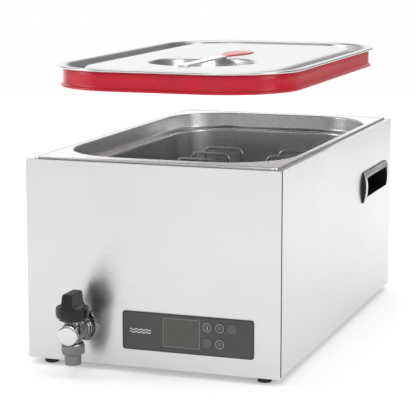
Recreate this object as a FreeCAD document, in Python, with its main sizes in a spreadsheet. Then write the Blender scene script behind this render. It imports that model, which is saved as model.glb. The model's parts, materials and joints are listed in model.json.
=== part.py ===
"""Stationary sous vide water bath with lid, drain tap, key panel and bag rack.

Millimetres, +Z up.  The origin is the centre of the footprint, on the surface that the feet
stand on.  The front, with tap and keys, faces -Y.
"""
import FreeCAD, Part
import math
import os
import re
import Sketcher

SIZES = {
    # casing
    "casing_width": 335.0,
    "casing_depth": 578.0,
    "casing_height": 256.0,
    "foot_height": 8.0,
    "rear_reach": 8.0,
    "gauge": 1.0,
    "panel_return": 3.0,
    "panel_seam": 2.5,
    "lip_width": 14.0,
    "base_lip": 30.0,
    # tank
    "flange_inset": 7.0,
    "flange_rise": 3.0,
    "flange_corner": 10.0,
    "mouth_width": 300.0,
    "mouth_length": 518.0,
    "mouth_corner": 92.0,
    "mouth_shift": 6.0,
    "ledge_depth": 24.0,
    "ledge_width": 10.0,
    "tank_depth": 200.0,
    # feet and base
    "foot_radius": 9.2,
    "foot_spread_x": 143.0,
    "foot_inset_y": 17.0,
    # side handles
    "handle_from_middle": 185.0,
    "handle_length": 138.0,
    "handle_height": 44.0,
    "handle_level": 182.5,
    "handle_recess": 20.0,
    "handle_edge": 1.4,
    "handle_crown": 3.6,
    "handle_skin": 0.8,
    # key panel
    "panel_width": 172.0,
    "panel_height": 49.0,
    "panel_x": 48.3,
    "panel_level": 55.0,
    "panel_thick": 1.2,
    "screen_width": 50.0,
    "screen_height": 38.0,
    "screen_x": 40.4,
    "screen_level": 56.0,
    "key_radius": 6.3,
    "key_gap": 0.3,
    "key_proud": 0.4,
    "key_x": 74.3,
    "key_pitch": 16.2,
    "key_level": 66.4,
    "key_drop": 20.1,
    # drain tap
    "tap_x": -88.0,
    "tap_level": 56.0,
    "stem_reach": 41.0,
    "cap_reach": 58.0,
    "tap_body_radius": 12.0,
    "tap_cap_radius": 13.0,
    "ball_radius": 9.5,
    "water_radius": 5.5,
    "stem_radius": 4.0,
    "skirt_radius": 21.0,
    "knob_bottom": 72.5,
    "knob_skirt": 17.0,
    "knob_top": 107.5,
    "spout_bottom": 16.0,
    "spout_radius": 10.6,
    "spout_bore": 7.0,
    "collar_bottom": 29.0,
    "collar_flats": 28.0,
    # bag rack
    "wire": 4.0,
    "rack_half_width": 105.0,
    "rack_clearance": 0.4,
    "rack_top": 226.0,
    "divider_width": 61.0,
    "divider_x": 57.5,
    "divider_pitch": 62.0,
    "divider_last": 163.0,
    "divider_bend": 8.0,
    # lid, in its raised place
    "lid_top": 377.5,
    "lid_width": 324.0,
    "lid_length": 558.0,
    "lid_corner": 102.0,
    "lid_gauge": 1.2,
    "lid_overhang": 8.5,
    "trough_depth": 14.0,
    "trough_width": 26.0,
    "crown_drop": 2.5,
    "dish_radius": 72.5,
    "dish_depth": 26.0,
    "dish_from_middle": -95.0,
    "strap_width": 16.0,
    "seal_height": 26.0,
    "seal_thick": 2.0,
    "seal_lip": 3.0,
    "plug_from_middle": 40.0,
    "plug_length": 100.0,
    "plug_width": 38.0,
}

PLACES = {
    "front_reach": "stem_reach + skirt_radius",
    "front_y": "(front_reach - rear_reach - casing_depth) / 2",
    "middle_y": "(front_reach - rear_reach) / 2",
    "back_y": "(front_reach - rear_reach + casing_depth) / 2",
    "half_width": "casing_width / 2",
    "wrap_y": "front_y + panel_return + panel_seam",
    "casing_top": "foot_height + casing_height",
    "rim_top": "casing_top + flange_rise",
    "tank_y": "middle_y + mouth_shift",
    "ledge_top": "rim_top - ledge_depth",
    "floor_top": "rim_top - tank_depth",
    "basin_width": "mouth_width - 2 * ledge_width",
    "basin_length": "mouth_length - 2 * ledge_width",
    "stem_y": "front_y - stem_reach",
    "rack_low": "floor_top + rack_clearance",
    "dish_y": "middle_y + dish_from_middle",
    "plug_y": "middle_y + plug_from_middle",
    "crown_top": "lid_top - crown_drop",
    "board_y": "front_y + 12",
}

doc = FreeCAD.newDocument("WaterBath")
sizes = doc.addObject("Spreadsheet::Sheet", "Sizes")
for row, (alias, value) in enumerate(SIZES.items(), start=1):
    sizes.set(f"A{row}", alias)
    sizes.set(f"B{row}", str(value))
    sizes.setAlias(f"B{row}", alias)
doc.recompute()

TURNS = {
    "x": FreeCAD.Rotation(FreeCAD.Vector(0, 1, 0), 90),
    "y": FreeCAD.Rotation(FreeCAD.Vector(1, 0, 0), -90),
    "z": FreeCAD.Rotation(),
}
NODES = []


def formula(text):
    """Write a size formula out in the sheet's own cell names."""
    def expand(match):
        word = match.group(0)
        if word in PLACES:
            return "(" + formula(PLACES[word]) + ")"
        return "Sizes." + word if word in SIZES else word
    return re.sub(r"[a-z_]+", expand, str(text))


gauge_point = doc.addObject("Part::Vertex", "GaugePoint")


def number(text):
    """Today's value of a size formula, used where a sketch is first drawn."""
    gauge_point.setExpression("X", formula(text))
    gauge_point.recompute()
    return gauge_point.X.Value


def bind(obj, **properties):
    for name, text in properties.items():
        obj.setExpression(name, formula(text))
    return obj


def put(obj, x, y, z):
    for letter, text in zip("xyz", (x, y, z)):
        obj.setExpression("Placement.Base." + letter, formula(text))
    return obj


def node(name, obj):
    obj.Label = name
    NODES.append(obj)
    return obj


def block(x, y, z, name="Block"):
    """A box between two formulas on each axis."""
    obj = doc.addObject("Part::Box", name)
    bind(obj, Length=f"({x[1]}) - ({x[0]})", Width=f"({y[1]}) - ({y[0]})", Height=f"({z[1]}) - ({z[0]})")
    return put(obj, x[0], y[0], z[0])


def rod(way, centre, span, radius, top_radius=None):
    """A cylinder or cone along one axis; centre gives the other two coordinates in X, Y, Z order."""
    kind = "Part::Cylinder" if top_radius is None else "Part::Cone"
    obj = doc.addObject(kind, "Rod")
    bind(obj, Height=f"({span[1]}) - ({span[0]})")
    if top_radius is None:
        bind(obj, Radius=radius)
    else:
        bind(obj, Radius1=radius, Radius2=top_radius)
    obj.Placement.Rotation = TURNS[way]
    point = list(centre)
    point.insert("xyz".index(way), span[0])
    return put(obj, *point)


def hexagon(way, centre, span, flats):
    obj = doc.addObject("Part::Prism", "Hexagon")
    obj.Polygon = 6
    bind(obj, Circumradius=f"({flats}) / {math.sqrt(3):.6f}", Height=f"({span[1]}) - ({span[0]})")
    obj.Placement.Rotation = TURNS[way]
    point = list(centre)
    point.insert("xyz".index(way), span[0])
    return put(obj, *point)


def fuse(*shapes):
    if len(shapes) == 1:
        return shapes[0]
    obj = doc.addObject("Part::MultiFuse", "Union")
    obj.Shapes = list(shapes)
    return obj


def group(*shapes):
    """Separate solids that share one node."""
    obj = doc.addObject("Part::Compound", "Group")
    obj.Links = list(shapes)
    return obj


def cut(base, *tools):
    obj = doc.addObject("Part::Cut", "Cut")
    obj.Base = base
    obj.Tool = fuse(*tools)
    return obj


def common(*shapes):
    obj = doc.addObject("Part::MultiCommon", "Common")
    obj.Shapes = list(shapes)
    return obj


def rounded_edges(base, radius, wanted):
    """Fillet the edges whose midpoints pass the test."""
    doc.recompute()
    obj = doc.addObject("Part::Fillet", "Fillet")
    obj.Base = base
    chosen = []
    for index, edge in enumerate(base.Shape.Edges, start=1):
        middle = edge.valueAt((edge.FirstParameter + edge.LastParameter) / 2)
        if wanted(middle):
            chosen.append((index, radius, radius))
    obj.Edges = chosen
    return obj


# ---- PartDesign bodies -------------------------------------------------------------------------

def new_body(name):
    body = doc.addObject("PartDesign::Body", "Body")
    return node(name, body)


def sketch_on(body, level, plane="XY_Plane"):
    """A sketch parallel to one origin plane; level is Z, or Y for the upright front plane."""
    sketch = body.newObject("Sketcher::SketchObject", "Sketch")
    for feature in body.Origin.OriginFeatures:
        if feature.Role == plane:
            sketch.AttachmentSupport = [(feature, "")]
    sketch.MapMode = "FlatFace"
    offset = level if plane == "XY_Plane" else f"-({level})"
    sketch.setExpression("AttachmentOffset.Base.z", formula(offset))
    return sketch


def drive(sketch, kind, text, *where):
    """Add one dimension and tie it to its formula."""
    index = sketch.addConstraint(Sketcher.Constraint(kind, *where, number(text)))
    sketch.setExpression(f"Constraints[{index}]", formula(text))


def draw_rounded(sketch, centre, width, height, radius):
    """A closed rectangle with equal round corners."""
    cx, cy = number(centre[0]), number(centre[1])
    w, h, r = number(width) / 2, number(height) / 2, number(radius)
    V = FreeCAD.Vector
    first = len(sketch.Geometry)
    corners = [(w - r, h - r, 0), (r - w, h - r, 90), (r - w, r - h, 180), (w - r, r - h, 270)]
    arcs = []
    for x, y, start in corners:
        circle = Part.Circle(V(cx + x, cy + y, 0), V(0, 0, 1), r)
        arcs.append(sketch.addGeometry(
            Part.ArcOfCircle(circle, math.radians(start), math.radians(start + 90))))
    lines = []
    sides = [((w - r, h), (r - w, h)), ((-w, h - r), (-w, r - h)),
             ((r - w, -h), (w - r, -h)), ((w, r - h), (w, h - r))]
    for (x1, y1), (x2, y2) in sides:
        lines.append(sketch.addGeometry(
            Part.LineSegment(V(cx + x1, cy + y1, 0), V(cx + x2, cy + y2, 0))))
    for turn in range(4):
        sketch.addConstraint(Sketcher.Constraint("Tangent", arcs[turn], 2, lines[turn], 1))
        sketch.addConstraint(Sketcher.Constraint("Tangent", lines[turn], 2, arcs[(turn + 1) % 4], 1))
        way = "Horizontal" if turn % 2 == 0 else "Vertical"
        sketch.addConstraint(Sketcher.Constraint(way, lines[turn]))
    for turn in range(1, 4):
        sketch.addConstraint(Sketcher.Constraint("Equal", arcs[0], arcs[turn]))
    drive(sketch, "Radius", radius, first)
    half_w, half_h = f"({width}) / 2", f"({height}) / 2"
    drive(sketch, "DistanceY", f"({centre[1]}) + {half_h}", -1, 1, lines[0], 1)
    drive(sketch, "DistanceY", f"({centre[1]}) - {half_h}", -1, 1, lines[2], 1)
    drive(sketch, "DistanceX", f"({centre[0]}) - {half_w}", -1, 1, lines[1], 1)
    drive(sketch, "DistanceX", f"({centre[0]}) + {half_w}", -1, 1, lines[3], 1)


def draw_circle(sketch, centre, radius):
    x, y, r = number(centre[0]), number(centre[1]), number(radius)
    circle = Part.Circle(FreeCAD.Vector(x, y, 0), FreeCAD.Vector(0, 0, 1), r)
    index = sketch.addGeometry(circle)
    drive(sketch, "Radius", radius, index)
    drive(sketch, "DistanceX", centre[0], -1, 1, index, 3)
    drive(sketch, "DistanceY", centre[1], -1, 1, index, 3)


def pad(body, sketch, length, reverse=False):
    feature = body.newObject("PartDesign::Pad", "Pad")
    feature.Profile = sketch
    feature.Reversed = reverse
    bind(feature, Length=length)
    body.Tip = feature
    return feature


def pocket(body, sketch, depth, upward=False):
    """Cut into the body, downward from the sketch unless told otherwise, and check that it cut."""
    doc.recompute()
    before = body.Shape.Volume
    feature = body.newObject("PartDesign::Pocket", "Pocket")
    feature.Profile = sketch
    feature.Reversed = upward
    bind(feature, Length=depth)
    body.Tip = feature
    doc.recompute()
    if body.Shape.Volume > before - 1.0:
        raise RuntimeError(f"a pocket in {body.Label} cuts nothing")
    return feature


def plate(name, centre, width, height, radius, level, thick, holes=(), plane="XY_Plane"):
    """A flat plate with rounded corners and rounded or round holes."""
    body = new_body(name)
    outline = sketch_on(body, level, plane)
    draw_rounded(outline, centre, width, height, radius)
    for hole in holes:
        if len(hole) == 2:
            draw_circle(outline, *hole)
        else:
            draw_rounded(outline, *hole)
    pad(body, outline, thick)
    return body


# ---- casing ------------------------------------------------------------------------------------

def key_places():
    """Three keys in the upper row and two in the lower one."""
    for count, drop, names in ((3, "0", ("key_heat", "key_up", "key_power")),
                               (2, "key_drop", ("key_timer", "key_down"))):
        for index in range(count):
            yield names[index], f"key_x + {index} * key_pitch", f"key_level - {drop}"


def casing():
    width, depth = ("-half_width", "half_width"), ("wrap_y", "back_y")
    shell = block(width, depth, ("foot_height + gauge", "casing_top"))
    room = block(("gauge - half_width", "half_width - gauge"), ("wrap_y + gauge", "back_y - gauge"),
                 ("foot_height + 2 * gauge", "casing_top - gauge"))
    inner = ("lip_width - half_width", "half_width - lip_width")
    top = block(inner, ("wrap_y + lip_width", "back_y - lip_width"), ("casing_top - 10", "casing_top + 10"))
    bottom = block(("base_lip - half_width", "half_width - base_lip"),
                   ("wrap_y + base_lip", "back_y - base_lip"), ("0", "foot_height + 10"))
    mouth = block(inner, ("wrap_y - 5", "wrap_y + 5"), ("foot_height + lip_width", "casing_top - lip_width"))
    handles = [block((f"{side} * half_width - 5", f"{side} * half_width + 5"),
                     ("middle_y + handle_from_middle - handle_length / 2 + 5",
                      "middle_y + handle_from_middle + handle_length / 2 - 5"),
                     ("handle_level - handle_height / 2 + 5", "handle_level + handle_height / 2 - 5"))
               for side in (-1, 1)]
    inlet = block(("-13.8", "13.8"), ("back_y - 5", "back_y + 5"), ("35.8", "56.2"))
    limiter = rod("y", ("90", "46"), ("back_y - 5", "back_y + 5"), "5.2")
    screws = [rod("y", (x, "46"), ("back_y - 5", "back_y + 5"), "1.6") for x in ("-20", "20")]
    node("casing_wrap", cut(shell, room, top, bottom, mouth, inlet, limiter, *screws, *handles,
                            *base_holes()))

    body = new_body("front_panel")
    outline = sketch_on(body, "front_y + panel_return", "XZ_Plane")
    draw_rounded(outline, ("0", "foot_height + casing_height / 2"), "casing_width", "casing_height", "1.5")
    pad(body, outline, "panel_return")
    hollow = sketch_on(body, "front_y + panel_return", "XZ_Plane")
    draw_rounded(hollow, ("0", "foot_height + casing_height / 2"), "casing_width - 2 * gauge",
                 "casing_height - 2 * gauge", "0.8")
    pocket(body, hollow, "panel_return - gauge", upward=True)
    holes = sketch_on(body, "front_y + 1.5 * gauge", "XZ_Plane")
    draw_circle(holes, ("tap_x", "tap_level"), "10.6")
    draw_rounded(holes, ("panel_x", "panel_level"), "panel_width - 14", "panel_height - 6", "2")
    pocket(body, holes, "3 * gauge", upward=True)

    node("base_plate", base_plate())
    feet, screws, casing_screws = [], [], []
    for side in (-1, 1):
        for end in (-1, 1):
            x = f"{side} * foot_spread_x"
            y = f"middle_y + {end} * (casing_depth / 2 - foot_inset_y)"
            foot = fuse(rod("z", (x, y), ("0", "2"), "foot_radius - 0.8", "foot_radius"),
                        rod("z", (x, y), ("2", "foot_height"), "foot_radius"))
            feet.append(cut(foot, rod("z", (x, y), ("2.5", "foot_height + 1"), "2.05")))
            head = "foot_height + 2 * gauge"
            screws.append(fuse(rod("z", (x, y), ("2.6", f"{head} + 1"), "2"),
                               rod("z", (x, y), (head, f"{head} + 2.4"), "3.8")))
        for share in (-0.55, 0, 0.55):
            x, y = f"{side} * (half_width - 9)", f"middle_y + {share} * casing_depth / 2"
            casing_screws.append(fuse(rod("z", (x, y), ("foot_height - 1.6", "foot_height"), "2.6"),
                                      rod("z", (x, y), ("foot_height - 1", "foot_height + 6"), "1.45")))
    node("rubber_feet", group(*feet))
    node("foot_screws", group(*screws))
    node("casing_screws", group(*casing_screws))


def base_holes():
    """Clearance for the foot screws and casing screws, through plate and lips alike."""
    holes = []
    for side in (-1, 1):
        for end in (-1, 1):
            y = f"middle_y + {end} * (casing_depth / 2 - foot_inset_y)"
            holes.append(rod("z", (f"{side} * foot_spread_x", y), ("0", "20"), "2.05"))
        for share in (-0.55, 0, 0.55):
            y = f"middle_y + {share} * casing_depth / 2"
            holes.append(rod("z", (f"{side} * (half_width - 9)", y), ("0", "20"), "1.5"))
    return holes


def base_plate():
    plate_box = block(("1 - half_width", "half_width - 1"), ("front_y + 3.5", "back_y - 1"),
                      ("foot_height", "foot_height + gauge"))
    holes = base_holes()
    for row in range(-6, 7):
        y = f"middle_y + {row * 12}"
        for x in (-80, 80):
            holes.append(block((f"{x - 30}", f"{x + 30}"), (f"{y} - 1.5", f"{y} + 1.5"), ("0", "20")))
    return cut(plate_box, *holes)


def side_handles():
    for side, name in ((-1, "left"), (1, "right")):
        ends = span_from_middle("handle_from_middle + middle_y", "handle_length / 2")
        tops = span_from_middle("handle_level", "handle_height / 2")
        bulge = "(handle_height ^ 2 / 8 / handle_crown + handle_crown / 2)"
        axis = (f"{side} * (half_width + handle_edge + handle_crown - {bulge})", "handle_level")
        roll = rod("y", axis, ends, bulge)
        skin_roll = rod("y", axis, ends, f"{bulge} + handle_skin")
        slab = block(outward(side, "0", "12"), ends, tops)
        skin_slab = block(outward(side, "0", "12"), ends, tops)
        finger_hole = block(outward(side, "1.6 - handle_recess", "15"),
                            span_from_middle("handle_from_middle + middle_y", "handle_length / 2 - 8"),
                            span_from_middle("handle_level", "handle_height / 2 - 8"))
        cup = block(outward(side, "-handle_recess", "0"),
                    span_from_middle("handle_from_middle + middle_y", "handle_length / 2 - 6.4"),
                    span_from_middle("handle_level", "handle_height / 2 - 6.4"))
        node(f"handle_cup_{name}", cut(fuse(cup, common(slab, roll)), finger_hole))
        node(f"handle_bezel_{name}", cut(common(skin_slab, skin_roll), roll, finger_hole))


def span_from_middle(middle, half):
    return f"{middle} - ({half})", f"{middle} + ({half})"


def outward(side, near, far):
    """The X span from near to far, measured outward from the casing's side."""
    if side > 0:
        return f"half_width + ({near})", f"half_width + ({far})"
    return f"-half_width - ({far})", f"-half_width - ({near})"


# ---- tank --------------------------------------------------------------------------------------

def tank():
    body = new_body("tank")
    flange = sketch_on(body, "casing_top")
    draw_rounded(flange, ("0", "middle_y"), "casing_width - 2 * flange_inset",
                 "casing_depth - 2 * flange_inset", "flange_corner")
    pad(body, flange, "flange_rise")
    centre = ("0", "tank_y")
    upper = sketch_on(body, "ledge_top - gauge")
    draw_rounded(upper, centre, "mouth_width + 2 * gauge", "mouth_length + 2 * gauge", "mouth_corner + gauge")
    pad(body, upper, "ledge_depth + gauge - 1")
    lower = sketch_on(body, "floor_top - gauge")
    draw_rounded(lower, centre, "basin_width + 2 * gauge", "basin_length + 2 * gauge",
                 "mouth_corner - ledge_width + gauge")
    pad(body, lower, "tank_depth - ledge_depth")
    mouth = sketch_on(body, "rim_top")
    draw_rounded(mouth, centre, "mouth_width", "mouth_length", "mouth_corner")
    pocket(body, mouth, "ledge_depth")
    basin = sketch_on(body, "rim_top")
    draw_rounded(basin, centre, "basin_width", "basin_length", "mouth_corner - ledge_width")
    pocket(body, basin, "tank_depth")
    under = sketch_on(body, "casing_top")
    draw_rounded(under, ("0", "middle_y"), "casing_width - 2 * flange_inset - 2 * gauge",
                 "casing_depth - 2 * flange_inset - 2 * gauge", "flange_corner - gauge")
    draw_rounded(under, centre, "mouth_width + 2 * gauge", "mouth_length + 2 * gauge", "mouth_corner + gauge")
    pocket(body, under, "flange_rise - gauge", upward=True)
    drain = sketch_on(body, "floor_top")
    draw_circle(drain, ("tap_x", "front_y + 60"), "7")
    pocket(body, drain, "3 * gauge")


def tank_fittings():
    x, y = "tap_x", "front_y + 60"
    elbow = fuse(rod("z", (x, y), ("tap_level", "floor_top - gauge"), "10"),
                 rod("y", (x, "tap_level"), ("front_y + 20", "front_y + 69"), "10"),
                 rod("y", (x, "tap_level"), ("front_y - 11", "front_y + 21"), "10.4"))
    bore = fuse(rod("z", (x, y), ("tap_level", "floor_top"), "7"),
                rod("y", (x, "tap_level"), ("front_y - 12", "front_y + 62"), "7"))
    node("drain_elbow", cut(elbow, bore))
    node("drain_gasket", cut(rod("y", (x, "tap_level"), ("front_y + gauge", "front_y + 3"), "15"),
                             rod("y", (x, "tap_level"), ("front_y", "front_y + 4"), "10.5")))
    node("drain_lock_nut", cut(hexagon("y", (x, "tap_level"), ("front_y + 3", "front_y + 9"), "27"),
                               rod("y", (x, "tap_level"), ("front_y", "front_y + 10"), "10.5")))
    mats = [block((f"{side} * 70 - 58", f"{side} * 70 + 58"), ("front_y + 105", "tank_y + 235"),
                  ("floor_top - gauge - 3", "floor_top - gauge")) for side in (-1, 1)]
    node("heater_mats", group(*mats))
    slabs = [block((f"{side} * 155 - 9.5", f"{side} * 155 + 9.5"), ("middle_y - 230", "middle_y + 105"),
                   ("80", "floor_top + 168")) for side in (-1, 1)]
    slabs.append(block(("-120", "120"), ("tank_y + basin_length / 2 + 4", "back_y - 4"), ("80", "235")))
    slabs.append(block(("-120", "120"), ("front_y + 4", "tank_y - basin_length / 2 - 4"), ("95", "235")))
    node("insulation_slabs", group(*slabs))
    probe_z = "floor_top - gauge - 3"
    node("temperature_probe", rod("y", ("0", probe_z), ("middle_y + 60", "middle_y + 105"), "3"))
    clip = block(("-9", "9"), ("middle_y + 74", "middle_y + 86"), ("floor_top - gauge - 8", "floor_top - gauge"))
    node("probe_clip", cut(clip, block(("-8", "8"), ("middle_y + 60", "middle_y + 100"),
                                       ("floor_top - gauge - 7", "floor_top"))))


# ---- electrics ---------------------------------------------------------------------------------

def key_panel():
    holes = [((x, z), "key_radius + key_gap") for _, x, z in key_places()]
    screen = ("screen_x", "screen_level")
    plate("control_overlay", ("panel_x", "panel_level"), "panel_width", "panel_height", "3.5",
          "front_y", "panel_thick", [(screen, "screen_width + 0.2", "screen_height + 0.2", "1.5"), *holes],
          plane="XZ_Plane")
    plate("display_window", screen, "screen_width", "screen_height", "1.4", "front_y", "panel_thick - 0.2",
          plane="XZ_Plane")
    plate("key_carrier", ("panel_x", "panel_level"), "panel_width - 15", "panel_height - 7", "1.5",
          "front_y + 3", "3", [(screen, "screen_width - 4", "screen_height - 4", "1"), *holes],
          plane="XZ_Plane")
    switches, spacers = [], []
    for name, x, z in key_places():
        disc = rod("y", (x, z), ("front_y - panel_thick - key_proud", "front_y + 3.4"), "key_radius")
        stem = rod("y", (x, z), ("front_y + 2", "board_y - 4.1"), "2")
        stop = rod("y", (x, z), ("front_y + 3.3", "front_y + 4.3"), "key_radius + 1.1")
        node(name, fuse(disc, stem, stop))
        body = block((f"{x} - 3", f"{x} + 3"), ("board_y - 3", "board_y"), (f"{z} - 3", f"{z} + 3"))
        button = rod("y", (x, z), ("board_y - 3.5", "board_y - 2.9"), "1.7")
        switches.append(fuse(body, button))
    node("key_switches", group(*switches))
    node("control_board", block(("panel_x - 76", "panel_x + 76"), ("board_y", "board_y + 1.6"),
                                ("panel_level - 19.5", "panel_level + 19.5")))
    node("display_module", block(("screen_x - 22", "screen_x + 22"), ("front_y + 3.5", "board_y"),
                                 ("screen_level - 16", "screen_level + 16")))
    for x in ("panel_x - 72", "panel_x + 72"):
        for z in ("panel_level - 15", "panel_level + 15"):
            spacers.append(rod("y", (x, z), ("front_y + 3", "board_y"), "2.8"))
    node("board_spacers", group(*spacers))


def power_parts():
    low = "foot_height + gauge"
    board = ("-60", "60"), ("back_y - 130", "back_y - 40"), (f"{low} + 6", f"{low} + 7.6")
    node("power_board", block(*board))
    spacers = [rod("z", (x, y), (low, f"{low} + 6"), "3")
               for x in ("-54", "54") for y in ("back_y - 124", "back_y - 46")]
    node("power_board_spacers", group(*spacers))
    relays = [block((f"{x} - 9", f"{x} + 9"), ("back_y - 120", "back_y - 92"), (f"{low} + 7.6", f"{low} + 24"))
              for x in (-45, -20)]
    node("relays", group(*relays))
    fins = [block((f"{5 + step * 6}", f"{7 + step * 6}"), ("back_y - 125", "back_y - 85"),
                  (f"{low} + 10", f"{low} + 32")) for step in range(8)]
    foot = block(("5", "49"), ("back_y - 125", "back_y - 85"), (f"{low} + 7.6", f"{low} + 10.6"))
    node("heat_sink", fuse(foot, *fins))
    z = "46"
    flange = block(("-25", "25"), ("back_y", "back_y + 3"), (f"{z} - 11.5", f"{z} + 11.5"))
    shell = block(("-13.5", "13.5"), ("back_y - 24", "back_y + 3"), (f"{z} - 10", f"{z} + 10"))
    socket = block(("-12", "12"), ("back_y - 19", "back_y + 4"), (f"{z} - 8", f"{z} + 8"))
    holes = [rod("y", (x, z), ("back_y - 1", "back_y + 4"), "1.6") for x in ("-20", "20")]
    blades = [(x, f"{z} + {dz}") for x, dz in ((-7, -1), (0, 3), (7, -1))]
    slots = [block((f"{x} - 1.1", f"{x} + 1.1"), ("back_y - 25", "back_y - 18"), (f"{at} - 2.1", f"{at} + 2.1"))
             for x, at in blades]
    node("power_inlet", cut(fuse(flange, shell), socket, *holes, *slots))
    pins = [block((f"{x} - 1", f"{x} + 1"), ("back_y - 31", "back_y - 7"), (f"{at} - 2", f"{at} + 2"))
            for x, at in blades]
    node("inlet_pins", group(*pins))
    screws = [fuse(rod("y", (x, z), ("back_y - 8", "back_y + 3"), "1.5"),
                   rod("y", (x, z), ("back_y + 3", "back_y + 4.8"), "3", "2.2")) for x in ("-20", "20")]
    node("inlet_screws", group(*screws))
    at = ("90", z)
    limiter = fuse(block(("76", "104"), ("back_y - 27", "back_y - 6"), (f"{z} - 12", f"{z} + 12")),
                   rod("y", at, ("back_y - 7", "back_y - gauge"), "9"),
                   rod("y", at, ("back_y - 2", "back_y + 5"), "5"))
    node("limit_switch", cut(limiter, rod("y", at, ("back_y - 12", "back_y + 6"), "2.8")))
    node("limit_switch_nut", cut(hexagon("y", at, ("back_y", "back_y + 3"), "14"),
                                 rod("y", at, ("back_y - 1", "back_y + 4"), "5.05")))
    node("reset_button", fuse(rod("y", at, ("back_y - 8.5", "back_y + rear_reach - 0.8"), "2.5"),
                              rod("y", at, ("back_y + rear_reach - 1", "back_y + rear_reach"), "2.5", "1.9")))


# ---- drain tap ---------------------------------------------------------------------------------

def drain_tap():
    x, z, stem = "tap_x", "tap_level", ("tap_x", "stem_y")
    pipe = (x, z)
    rosette = fuse(rod("y", pipe, ("front_y - 1.5", "front_y"), "19.6"),
                   rod("y", pipe, ("front_y - 4", "front_y - 1.5"), "15", "19.6"))
    node("tap_rosette", cut(rosette, rod("y", pipe, ("front_y - 5", "front_y + 1"), "10.5")))
    node("tap_nut", cut(hexagon("y", pipe, ("front_y - 11", "front_y - 4"), "27"),
                        rod("y", pipe, ("front_y - 12", "front_y - 3"), "10.5")))
    body = fuse(rod("y", pipe, ("stem_y - 12", "front_y - 11"), "tap_body_radius"),
                rod("y", pipe, ("front_y - 19", "front_y - 14"), "tap_body_radius + 1.6"),
                rod("z", stem, ("collar_bottom + 12", "tap_level + 13"), "11"),
                hexagon("z", stem, ("collar_bottom", "collar_bottom + 14"), "collar_flats"))
    hollow = fuse(rod("z", stem, ("tap_level - 10.6", "tap_level + 10.6"), "10"),
                  rod("y", pipe, ("stem_y", "front_y"), "water_radius"),
                  rod("z", stem, ("collar_bottom - 1", "tap_level"), "water_radius"),
                  rod("z", stem, ("collar_bottom - 1", "collar_bottom + 8"), "8.05"),
                  rod("z", stem, ("tap_level", "tap_level + 16"), "5.6"))
    node("tap_body", cut(body, hollow))
    node("tap_end_cap", rod("y", pipe, ("front_y - cap_reach", "stem_y - 12"), "tap_cap_radius"))
    ball_bores = [rod("y", pipe, ("stem_y", "stem_y + 12"), "water_radius"),
                  rod("z", stem, ("tap_level - 12", "tap_level"), "water_radius")]
    ball = doc.addObject("Part::Sphere", "Ball")
    bind(ball, Radius="ball_radius")
    put(ball, x, "stem_y", z)
    side_port = rod("x", ("stem_y", z), (f"{x}", f"{x} + 12"), "water_radius")
    slot = block((f"{x} - 1.6", f"{x} + 1.6"), ("stem_y - 5", "stem_y + 5"), ("tap_level + 7", "tap_level + 10"))
    node("tap_ball", cut(ball, ball_bores[1], side_port, slot))
    room = doc.addObject("Part::Sphere", "BallRoom")
    bind(room, Radius="ball_radius + 0.05")
    put(room, x, "stem_y", z)
    seat = rod("z", stem, ("tap_level - 10.6", "tap_level - 6"), "9.9")
    node("tap_seat", cut(seat, room, rod("z", stem, ("tap_level - 11", "tap_level"), "water_radius")))
    tang = block((f"{x} - 1.5", f"{x} + 1.5"), ("stem_y - 3.5", "stem_y + 3.5"),
                 ("tap_level + 7.3", "tap_level + 10"))
    shaft = fuse(tang, rod("z", stem, ("tap_level + 9.9", "knob_bottom + 15"), "stem_radius"))
    node("tap_stem", cut(shaft, rod("z", stem, ("knob_bottom + 5", "knob_bottom + 16"), "1.5")))
    gland_bottom = "tap_level + 13"
    gland = fuse(hexagon("z", stem, (gland_bottom, f"{gland_bottom} + 3"), "19"),
                 rod("z", stem, ("tap_level + 11.4", gland_bottom), "5.5"))
    node("tap_gland", cut(gland, rod("z", stem, ("tap_level", "tap_level + 30"), "stem_radius + 0.05")))
    skirt_top = "knob_bottom + knob_skirt"
    skirt = fuse(rod("z", stem, ("knob_bottom", "knob_bottom + 4"), "skirt_radius - 4", "skirt_radius"),
                 rod("z", stem, ("knob_bottom + 4", skirt_top), "skirt_radius"))
    wing = common(block((f"{x} - 7.5", f"{x} + 7.5"), ("stem_y - 25", "stem_y + 25"),
                        (f"{skirt_top} - 2", "knob_top")),
                  rod("z", stem, (f"{skirt_top} - 2", "knob_top"), "skirt_radius - 0.5", "skirt_radius - 4"))
    wing = rounded_edges(wing, 2.5, lambda middle: middle.z > SIZES["knob_top"] - 0.1)
    knob_holes = fuse(rod("z", stem, ("knob_bottom - 1", "knob_bottom + 15.1"), "stem_radius + 0.02"),
                      rod("z", stem, ("knob_bottom + 14", "knob_top + 1"), "1.7"),
                      rod("z", stem, ("knob_top - 5", "knob_top + 1"), "3.2"))
    node("tap_knob", cut(fuse(skirt, wing), knob_holes))
    node("tap_knob_screw", fuse(rod("z", stem, ("knob_bottom + 5.5", "knob_top - 4.5"), "1.45"),
                                rod("z", stem, ("knob_top - 4.9", "knob_top - 2.2"), "2.9")))
    spout = fuse(rod("z", stem, ("spout_bottom", "collar_bottom"), "spout_radius"),
                 rod("z", stem, ("collar_bottom", "collar_bottom + 7.8"), "8"))
    node("tap_spout", cut(spout, rod("z", stem, ("spout_bottom - 1", "collar_bottom"), "spout_bore"),
                          rod("z", stem, ("collar_bottom - 1", "collar_bottom + 9"), "water_radius")))


# ---- bag rack ----------------------------------------------------------------------------------

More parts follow.
